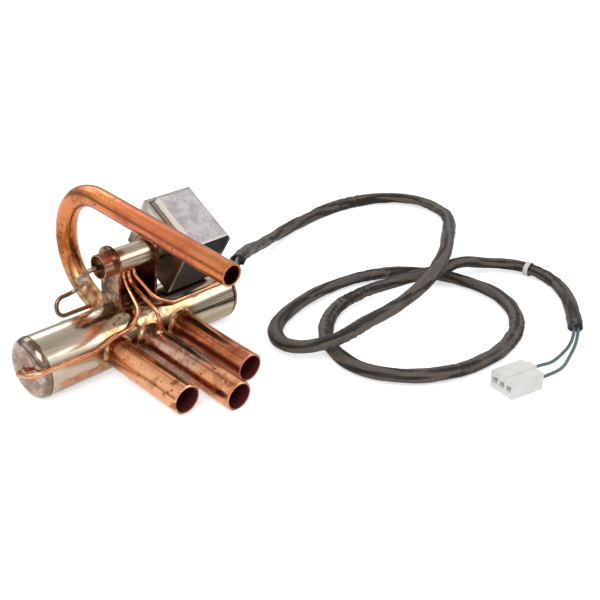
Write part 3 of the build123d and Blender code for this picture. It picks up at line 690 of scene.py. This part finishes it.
# Straw rings, and brown inside them, where each stub was brazed.
rings = 0.0
for place in stub_places.values():
    off = x - place
    radius = (off * off + z * z).root() + ragged * 0.007
    rings = (1 - radius.between(0.0068, 0.0128)) + rings
rings = rings * front
tone = barrel_steel.mix(rings.between(0.05, 0.7) * 0.9, tone, (0.50, 0.33, 0.15))
tone = barrel_steel.mix(rings.between(0.6, 1.2) * 0.9, tone, (0.17, 0.085, 0.045))

# A copper-brown band of painted shade and painted copper reflection along the lower front of the
# left half, and a fainter one on the right.
above = (z + ragged * 0.004).between(-0.0105, -0.0080)
below = 1 - (z + ragged * 0.003).between(-0.0030, -0.0012)
belt = above * below * front
left_shade_band = belt * (x + ragged * 0.012).between(-0.047, -0.042) * (1 - x.between(-0.024, -0.018))
shade_band_mottle = barrel_steel.cloud(barrel_steel.where, 4, 3).between(0.42, 0.6)
shade_band_tone = barrel_steel.mix(shade_band_mottle, (0.60, 0.26, 0.12), (0.42, 0.15, 0.06))
tone = barrel_steel.mix(left_shade_band * 0.92, tone, shade_band_tone)
right_shade_band = belt * x.between(0.024, 0.030)
tone = barrel_steel.mix(right_shade_band * 0.6, tone, (0.36, 0.26, 0.15))
streak = barrel_steel.cloud(barrel_steel.place((0.10, 1, 1)), 2.6, 3)
top_flush = (z + ragged * 0.004).between(0.004, 0.008) * front
top_flush = top_flush * (x + ragged * 0.012).between(0.014, 0.022) * streak.between(0.40, 0.56)
tone = barrel_steel.mix(top_flush * 0.85, tone, (0.48, 0.26, 0.17))

# Painted shade underneath, and the bracket's painted shadow on top round its foot and the discharge
# tube.
underside_shade = 1 - (z + ragged * 0.002).between(-0.0121, -0.0088)
tone = barrel_steel.mix(underside_shade * 0.9, tone, (0.085, 0.065, 0.04))
from_bracket = abs(x + 0.002) * -1 + ragged * 0.016
bracket_shadow = (z + ragged * 0.012).between(0.0045, 0.0085) * from_bracket.between(-0.019, -0.013)
bracket_shadow_mottle = barrel_steel.cloud(barrel_steel.where, 2.2, 4).between(0.4, 0.6)
bracket_shadow_tone = barrel_steel.mix(bracket_shadow_mottle, (0.13, 0.08, 0.05), (0.46, 0.33, 0.20))
tone = barrel_steel.mix(bracket_shadow * 0.85, tone, bracket_shadow_tone)
barrel_steel.feed(Base_Color=tone)
barrel_steel.paint("valve_barrel")

# %% Caps, pilot tube and the pieces inside
cap_steel = polished_steel("cap_steel", (0.56, 0.47, 0.41), 0.09, lined=0.8)
cap_y, cap_z = cap_steel.axes(cap_steel.place(moved=(0, 0, -barrel_radius)), "YZ")
from_axis = (cap_y * cap_y + cap_z * cap_z).root()
cap_ragged = cap_steel.cloud(cap_steel.where, 4, 4, 0.6) - 0.5
scorch = 1 - (from_axis + cap_ragged * 0.018).between(0.0045, 0.0095)
cap_tone = cap_steel.mix(scorch * 0.9, cap_steel.tone, (0.30, 0.165, 0.12))
mottle = cap_steel.cloud(cap_steel.where, 3.2, 3, 0.6).between(0.47, 0.60)
cap_tone = cap_steel.mix(mottle * 0.75, cap_tone, (0.20, 0.125, 0.10))
# The darker ring at the rim is partly the dark joint with the barrel and partly painted shade where
# the rounded rim turns away.
cap_rim = (from_axis + cap_ragged * 0.003).between(0.0112, 0.0126)
cap_steel.feed(Base_Color=cap_steel.mix(cap_rim * 0.75, cap_tone, (0.17, 0.12, 0.085)))
cap_steel.paint("end_cap_left", "end_cap_right")

pilot_steel = polished_steel("pilot_steel", (0.52, 0.46, 0.36), 0.16, lined=0.5)
pilot_ragged = (pilot_steel.cloud(pilot_steel.where, 5, 4) - 0.5) * 0.008
pilot_x = pilot_steel.axis(pilot_steel.where, "X") + pilot_ragged
left_end = 1 - pilot_x.between(-0.0115, -0.0065)
pilot_tone = pilot_steel.mix(left_end * 0.85, pilot_steel.tone, (0.36, 0.17, 0.10))
by_coil = pilot_x.between(0.004, 0.010)
pilot_steel.feed(Base_Color=pilot_steel.mix(by_coil * 0.6, pilot_tone, (0.30, 0.22, 0.11)))
pilot_steel.paint("pilot_tube", "pilot_core")
spring_steel = polished_steel("spring_steel", (0.55, 0.55, 0.57), 0.25)
spring_steel.paint("pilot_return_spring", "slide_spring", "pilot_plunger")
pressed_steel = polished_steel("pressed_steel", (0.62, 0.55, 0.46), 0.24)
pressed_steel.paint(
    "slide_frame",
    "piston_left",
    "piston_right",
    "cup_retainer_left",
    "cup_retainer_right",
    "piston_rivets",
    "slide_carrier",
)

# %% [markdown]
# ## Brass, bracket and zinc
#
# Brass is a yellower metal with a duller skin. The bracket has been through the torch and is brown,
# and the pilot valve's plug is painted dark brown as painted shade in the tube's recessed end. Zinc
# plate is a pale grey with a faint cloudiness and no direction, and the lower half of the yoke is
# painted dark brown as painted shade.

# %% Brass, bracket and zinc finishes


def plated(name, first, second, size, rough, depth=0.02):
    """A metal with soft spots of a second colour."""
    finish = Finish(name, Metallic=1.0)
    clouds = finish.cloud(finish.where, size, 5, 0.62)
    finish.tone = finish.mix(clouds.between(0.38, 0.62), first, second)
    finish.feed(Base_Color=finish.tone, Roughness=rough + clouds * 0.22)
    finish.bump(clouds, depth)
    return finish


brass = plated("brass", (0.80, 0.62, 0.33), (0.58, 0.38, 0.18), 4, 0.22)
brass.paint("valve_seat", "pilot_seat")
# The plug's dark brown is painted shade.
plug_shade = plated("shaded_plug", (0.20, 0.105, 0.062), (0.055, 0.028, 0.020), 2.5, 0.30)
plug_shade.paint("pilot_plug")
scorched = plated("scorched_bracket", (0.40, 0.24, 0.14), (0.095, 0.045, 0.026), 4.0, 0.13, 0.05)
scorched.paint("pilot_bracket")
zinc = plated("zinc_plate", (0.60, 0.56, 0.52), (0.40, 0.365, 0.33), 3.5, 0.20)
zinc_ragged = (zinc.cloud(zinc.where, 7, 4) - 0.5) * 0.012
# The lower half of the yoke is painted dark brown as painted shade.
lower_yoke_shade = 1 - (zinc.axis(zinc.where, "Z") + zinc_ragged).between(0.041, 0.054)
zinc.feed(Base_Color=zinc.mix(lower_yoke_shade * 0.88, zinc.tone, (0.125, 0.085, 0.052)))
zinc.paint("coil_yoke", "coil_washer", "coil_screw")

# %% [markdown]
# ## Plastics
#
# The coil's block is a dark moulding with a fine sparkle of grain. The nylon slides, the cups and
# the connector are pale, and the connector lets a little light through. Wire insulation has a thin
# gloss over its colour.

# %% Plastic finishes


def moulded(name, colour, second, rough, grain=0.35, **constants):
    """A plastic with wide clouds of a second colour and a fine grain."""
    finish = Finish(name, **constants)
    speckle = finish.cloud(finish.where, grain, 3, 0.6)
    clouds = finish.cloud(finish.where, 9, 3)
    finish.feed(
        Base_Color=finish.mix(clouds.between(0.3, 0.75), colour, second),
        Roughness=rough + speckle * 0.14,
    )
    finish.bump(speckle, 0.02, 0.7)
    return finish


coil_block = moulded(
    "coil_block", (0.010, 0.009, 0.011), (0.020, 0.017, 0.018), 0.50, Specular_IOR_Level=0.3
)
coil_block.paint("coil_body", "lead_nose", "coil_bobbin")
winding = moulded("winding_wire", (0.42, 0.16, 0.07), (0.55, 0.24, 0.10), 0.3, Coat_Weight=0.4)
winding.paint("coil_winding")
slide_nylon = moulded("slide_nylon", (0.80, 0.77, 0.67), (0.86, 0.83, 0.74), 0.4)
slide_nylon.paint("main_slide", "pilot_slide")
cup_white = moulded("cup_white", (0.84, 0.83, 0.80), (0.78, 0.77, 0.74), 0.45)
cup_white.paint("piston_cup_left", "piston_cup_right")
natural_nylon = moulded(
    "natural_nylon",
    (0.80, 0.77, 0.74),
    (0.93, 0.92, 0.89),
    0.26,
    grain=2.5,
    Subsurface_Weight=0.3,
    Subsurface_Radius=(0.003, 0.003, 0.003),
)
natural_nylon.paint("connector_housing")
polished_steel("tinned_terminal", (0.78, 0.77, 0.74), 0.2).paint("connector_terminals")
moulded("tape_white", (0.86, 0.84, 0.83), (0.74, 0.71, 0.70), 0.5).paint(band)
teal = moulded(
    "teal_insulation",
    (0.045, 0.085, 0.110),
    (0.085, 0.140, 0.170),
    0.30,
    grain=0.6,
    Coat_Weight=0.25,
)
teal.paint(*coil_wires, *connector_wires)

# %% [markdown]
# ## The blank label
#
# The label is a film stuck over the top of the block. It is wider than the flat top: it falls over
# the step on the left, and its edge there is painted cream as a painted highlight. It is one
# profile drawn across the top, extruded from back to front, with its rim bevelled round, and it
# stands for the plain plate of the CAD model. It is left blank.

# %% Label
block_left, block_right = 16.5, 38.5
block_top, step_width, step_drop = 14.75, 3.2, 1.3
step_top, step_edge = block_top - step_drop, block_left + step_width
label_front, label_back = -14.9, 13.6
film_thickness, film_rim = 0.24, 0.08
profile = (
    (block_left + 0.25, step_top + 0.30),
    (step_edge - 0.7, step_top + 0.34),
    (step_edge - 0.25, step_top + 0.8),
    (step_edge - 0.1, block_top - 0.1),
    (step_edge + 0.25, block_top + 0.24),
    (step_edge + 1.2, block_top + 0.30),
    (block_right - 0.25, block_top + 0.28),
)
film = bmesh.new()
corners = [film.verts.new(coil_point(x, label_front, up) * MM) for x, up in profile]
edges = [film.edges.new(pair) for pair in zip(corners, corners[1:])]
drawn = bmesh.ops.extrude_edge_only(film, edges=edges)["geom"]
far_side = [piece for piece in drawn if isinstance(piece, bmesh.types.BMVert)]
bmesh.ops.translate(film, verts=far_side, vec=coil_back * (label_back - label_front) * MM)
bmesh.ops.recalc_face_normals(film, faces=film.faces)
if sum((face.normal for face in film.faces), Vector()).dot(coil_up) < 0:
    bmesh.ops.reverse_faces(film, faces=film.faces)
bmesh.ops.solidify(film, geom=film.faces[:], thickness=film_thickness * MM)
bmesh.ops.recalc_face_normals(film, faces=film.faces)
rim = [edge for edge in film.edges if edge.calc_face_angle(0) > radians(60)]
bmesh.ops.bevel(
    film, geom=rim, offset=film_rim * MM, affect="EDGES", segments=2, profile=0.5, material=-1
)
label_film = finished(film, "label_film")
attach(label_film, "valve")
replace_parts(label_film, "coil_label")

label = Finish("blank_label")
flat_on = label.place(turned=(-coil_turn, 0, 0), moved=tuple(coil_point(0, 0, 0) * -MM))
along_x, along_back = label.axes(flat_on, "XY")
smudge = label.cloud(label.where, 6, 5, 0.65)
fine_smudge = label.cloud(label.place((1, 0.5, 1)), 1.8, 4, 0.6)
paper = label.mix(smudge.between(0.36, 0.66), (0.70, 0.65, 0.66), (0.46, 0.42, 0.42))
paper = label.mix(fine_smudge.between(0.56, 0.68) * 0.5, paper, (0.28, 0.26, 0.27))
# The cream strips along the fold and along the front edge are a painted highlight.
fold_x = (step_edge + 0.9) * MM
edge = 1 - along_x.between(fold_x - 0.0002, fold_x + 0.0004)
front_edge = label_front * MM
edge = edge.most(1 - along_back.between(front_edge + 0.0006, front_edge + 0.0012))
face = label.mix(edge, paper, (0.86, 0.81, 0.70))
low_x = (step_edge - 0.6) * MM
grime_x = along_x + (fine_smudge - 0.5) * 0.001
grime = 1 - grime_x.between(low_x - 0.0004, low_x + 0.0001)
label_tone = label.mix(grime * 0.9, face, (0.20, 0.13, 0.10))
label.feed(Base_Color=label_tone, Roughness=0.32 + smudge * 0.15)
label.bump(smudge * 0.6 + fine_smudge * 0.4, 0.06, 0.5)
label.paint(label_film)
print("label:", len(label_film.data.polygons), "faces")

# %% [markdown]
# ## Sleeve finish
#
# The sleeve is a dark brown skin with a dull sheen and a fine paler grain. Its creases and its
# underside are painted nearly black as painted shade. The noise has no direction, so it reads
# Object coordinates, and the painted crease shade comes from the attribute that the mesh carries.

# %% Sleeve finish
hose_skin = Finish("sleeve_skin", Specular_IOR_Level=0.35)
skin_cloud = hose_skin.cloud(hose_skin.where, 9, 4, 0.6)
skin_grain = hose_skin.cloud(hose_skin.where, 1.3, 4, 0.65)
skin_mottle = skin_cloud.between(0.38, 0.62)
skin_tone = hose_skin.mix(skin_mottle, (0.020, 0.0135, 0.0100), (0.052, 0.037, 0.028))
skin_tone = hose_skin.mix(skin_grain, skin_tone, (0.20, 0.16, 0.13))
crease_shade = hose_skin.node("ShaderNodeAttribute", {"attribute_name": "crease_shade"}, out="Fac")
# Painted shade: nearly black in the creases and underneath.
skin_tone = hose_skin.mix(crease_shade.between(0.10, 0.60), skin_tone, (0.010, 0.007, 0.005))
hose_skin.feed(Base_Color=skin_tone, Roughness=0.42 + skin_grain * 0.2)
hose_skin.bump(skin_grain * 0.6 + skin_cloud * 0.4, 0.22, 0.9)
hose_skin.paint(sleeve)

# %% [markdown]
# ## Brazed joints
#
# Each stub is brazed to the barrel. The filler metal draws a small hollow fillet all round the
# joint. Here it is a few circles round the stub's axis, each dropped onto the barrel and lifted a
# little less than the one inside it, and bridged to the next. The fillet meets the tube at its top
# and runs out thin on the barrel.

# %% Braze fillets
valve_y = Vector((0, cos(lean), sin(lean)))
valve_z = Vector((0, -sin(lean), cos(lean)))
barrel_centre = Vector((0, 0, barrel_radius))
# How far out from the tube and how high above the barrel each circle but the first lies.
fillet_run = ((0.12, 0.8), (0.35, 0.36), (0.75, 0.13), (1.25, 0.02), (1.55, -0.25))
front_side, back_side = -1, 1


def braze(name, place, tube_radius, side, reach=1.7):
    """A fillet round a tube that leaves the barrel square. Reach is how far it climbs the tube."""
    fillet = bmesh.new()
    rings = []
    for out, lift in ((0.0, reach), *fillet_run):
        radius = tube_radius + out * MM
        ring = bmesh.ops.create_circle(fillet, segments=72, radius=radius)["verts"]
        for vertex in ring:
            angle = atan2(vertex.co.y, vertex.co.x)
            wobble = 1 + 0.12 * sin(3 * angle + place * 900) + 0.08 * sin(7 * angle + 1)
            drop = sqrt(max(barrel_radius**2 - vertex.co.y**2, 1e-9)) + lift * wobble * MM
            flat = barrel_centre + Vector((place + vertex.co.x, 0, 0)) + valve_z * vertex.co.y
            vertex.co = flat + valve_y * side * drop
        rings.append(ring)
    for pair in zip(rings, rings[1:]):
        edges = [
            edge
            for edge in fillet.edges
            if any(all(vertex in ring for vertex in edge.verts) for ring in pair)
        ]
        bmesh.ops.bridge_loops(fillet, edges=edges)
    bmesh.ops.recalc_face_normals(fillet, faces=fillet.faces)
    made = finished(fillet, name)
    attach(made, "valve")
    return made


fillets = [
    braze(f"{stub}_braze", place, stub_radius, front_side) for stub, place in stub_places.items()
]
fillets.append(braze("discharge_braze", 0.0, loop_radius, back_side, reach=2.2))
filler = plated("braze_filler", (0.58, 0.37, 0.19), (0.20, 0.095, 0.045), 2.5, 0.20, 0.08)
filler.paint(*fillets)

# %% [markdown]
# ## Beads on the capillaries
#
# A capillary is brazed into each end cap, and one more into the suction stub. The filler leaves a
# small rounded bead. It is a short profile spun about the capillary's axis.

# %% Beads
capillary_radius = 1.0
bead_steps = 7


def bead(name, centre, axis, width, height):
    """A rounded collar of filler, in millimetres. Its centre lies on the surface under it."""
    turned = axis.to_track_quat("Z", "Y").to_matrix().to_4x4()
    shape = bmesh.new()
    corners = []
    for step in range(bead_steps + 1):
        bend = pi / 2 * step / bead_steps
        out = capillary_radius + width * (1 - cos(bend))
        corners.append(shape.verts.new((out * MM, 0, height * (1 - sin(bend)) * MM)))
    edges = [shape.edges.new(pair) for pair in zip(corners, corners[1:])]
    bmesh.ops.spin(
        shape,
        geom=[*corners, *edges],
        axis=(0, 0, 1),
        cent=(0, 0, 0),
        steps=32,
        angle=2 * pi,
        use_merge=True,
    )
    bmesh.ops.remove_doubles(shape, verts=shape.verts, dist=1e-6)
    bmesh.ops.recalc_face_normals(shape, faces=shape.faces)
    bmesh.ops.transform(shape, matrix=Matrix.Translation(centre) @ turned, verts=shape.verts)
    made = finished(shape, name)
    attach(made, "valve")
    return made


cap_face = Vector((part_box("end_cap_right")[1].x, 0, 0))
to_left, to_right = Vector((-1, 0, 0)), Vector((1, 0, 0))
on_suction_stub = barrel_centre - valve_y * 18.8 * MM + valve_z * 6.0 * MM
beads = [
    bead("left_cap_bead", barrel_centre - cap_face, to_left, 1.3, 1.2),
    bead("right_cap_bead", barrel_centre + cap_face, to_right, 1.3, 1.2),
    bead("suction_bead", on_suction_stub, valve_z, 1.6, 1.6),
]
filler.paint(*beads)

# %% [markdown]
# ## Floor and light
#
# The floor and the background are white paper. The lamps stay at a plain level: one soft light from
# above and the left, a weaker one from the right, one from behind, and an even sky. What the camera
# and the metals see of the sky is different: white at mid height, greyer near the horizon and
# overhead, so that polished tube shows bands of light and dark. The floor glows a little for the
# camera, so that it stays white.

# %% Floor
paper_sheet = bmesh.new()
bmesh.ops.create_grid(paper_sheet, x_segments=1, y_segments=1, size=4.0)
floor = finished(paper_sheet, "floor", smooth=False)
floor_paint = Finish(
    "floor_paper", Roughness=0.9, Specular_IOR_Level=0.0, Base_Color=(0.93, 0.93, 0.93)
)
seen = floor_paint.node("ShaderNodeLightPath", out="Is Camera Ray")
mirrored = floor_paint.node("ShaderNodeLightPath", out="Is Glossy Ray")
mirrored = mirrored.most(floor_paint.node("ShaderNodeLightPath", out="Is Transmission Ray"))
floor_glow = (seen * 0.60).most(mirrored * 0.32)
floor_paint.feed(Emission_Color=(1, 1, 1), Emission_Strength=floor_glow)
floor_paint.paint(floor)

# %% Lamps and sky


def soft_lamp(name, place, size, power):
    lamp = bpy.data.lights.new(name, "AREA")
    lamp.shape = "RECTANGLE"
    lamp.size, lamp.size_y = size
    lamp.energy = power
    hung = bpy.data.objects.new(name, lamp)
    hung.location = place
    aim = target - Vector(place)
    hung.rotation_euler = aim.to_track_quat("-Z", "Y").to_euler()
    bpy.context.collection.objects.link(hung)


soft_lamp("key", (-0.55, -0.35, 0.75), (0.5, 0.5), 4.2)
soft_lamp("fill", (0.55, -0.60, 0.45), (0.4, 0.4), 1.3)
soft_lamp("back", (0.10, 0.70, 0.55), (0.7, 0.3), 1.8)

world = bpy.data.worlds.new("sky")
bpy.context.scene.world = world
world.use_nodes = True
sky_nodes = world.node_tree.nodes
sky_links = world.node_tree.links


def sky_node(kind, *linked, **settings):
    """Adds a node to the sky and links its inputs in their order."""
    made = sky_nodes.new(kind)
    for name, value in settings.items():
        setattr(made, name, value)
    for output, socket in zip(linked, made.inputs):
        sky_links.new(output, socket)
    return made


def either(first, second):
    return sky_node("ShaderNodeMath", first, second, operation="MAXIMUM").outputs[0]


lit = sky_nodes["Background"]
lit.inputs["Color"].default_value = (0.9, 0.92, 0.95, 1)
lit.inputs["Strength"].default_value = 0.42
direction = sky_node("ShaderNodeTexCoord").outputs["Generated"]
fade = sky_node("ShaderNodeValToRGB", sky_node("ShaderNodeSeparateXYZ", direction).outputs["Z"])
levels = ((0.02, 0.30), (0.16, 0.34), (0.34, 0.98), (0.66, 1.0), (0.92, 0.55))
while len(fade.color_ramp.elements) < len(levels):
    fade.color_ramp.elements.new(0.5)
for stop, (place, level) in zip(fade.color_ramp.elements, levels):
    stop.position = place
    stop.color = (level, level, level, 1)
shown = sky_node("ShaderNodeBackground", fade.outputs[0])
shown.inputs["Strength"].default_value = 1.0
rays = sky_node("ShaderNodeLightPath").outputs
in_sight = either(either(rays["Is Camera Ray"], rays["Is Glossy Ray"]), rays["Is Transmission Ray"])
blended = sky_node("ShaderNodeMixShader", in_sight, lit.outputs[0], shown.outputs[0])
sky_links.new(blended.outputs[0], sky_nodes["World Output"].inputs["Surface"])
print("lamps:", [lamp.name for lamp in bpy.data.lights])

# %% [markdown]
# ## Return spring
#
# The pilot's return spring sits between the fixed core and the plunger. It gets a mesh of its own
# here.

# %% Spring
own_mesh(nodes["pilot_return_spring"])
